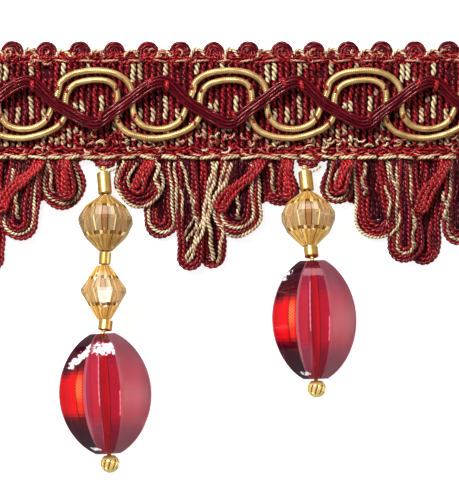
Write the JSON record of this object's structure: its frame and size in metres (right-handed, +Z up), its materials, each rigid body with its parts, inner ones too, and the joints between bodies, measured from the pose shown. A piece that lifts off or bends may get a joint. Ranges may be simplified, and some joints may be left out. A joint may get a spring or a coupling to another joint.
{
  "type": "beaded loop fringe trim",
  "caption": "Cut length of burgundy and gold braid trim with a picot edge, wrapped cords, a scalloped loop fringe and hanging bead drops, laid flat.",
  "frame": {"origin": "on the surface that the trim lies on, below the middle of the whole piece", "axes": "+X along the heading, +Y across it from the bead drops to the picot edge, +Z up, out of the trim's face"},
  "size_m": [0.0873, 0.0623, 0.0131],
  "materials": {
    "burgundy_yarn": "twisted rayon cords, burgundy with cream and gold ones among them",
    "burgundy_satin": "smooth satin strands with a soft sheen",
    "gold_yarn": "cord wrapped closely in gold yarn",
    "gold_thread": "fine gold stringing thread",
    "gold_bead": "polished gold colour",
    "champagne_crystal": "cut and polished, clear champagne",
    "ruby_acrylic": "clear ruby with broad flat panels, polished"
  },
  "bodies": {
    "root": {"heading_band": "burgundy_yarn", "picot_edging": "burgundy_satin", "gold_cord_upper": "gold_yarn", "gold_cord_lower": "gold_yarn", "zigzag_cord": "burgundy_satin", "loop_fringe": "burgundy_yarn", "long_bead_thread": "gold_thread", "long_bugle_top": "gold_bead", "long_bicone_large": "champagne_crystal", "long_tube": "gold_bead", "long_bicone_small": "champagne_crystal", "long_bugle_low": "gold_bead", "long_ruby_oval": "ruby_acrylic", "long_end_bead": "gold_bead", "short_bead_thread": "gold_thread", "short_bugle_top": "gold_bead", "short_bicone_large": "champagne_crystal", "short_bugle_low": "gold_bead", "short_ruby_oval": "ruby_acrylic", "short_end_bead": "gold_bead"}
  },
  "joints": []
}
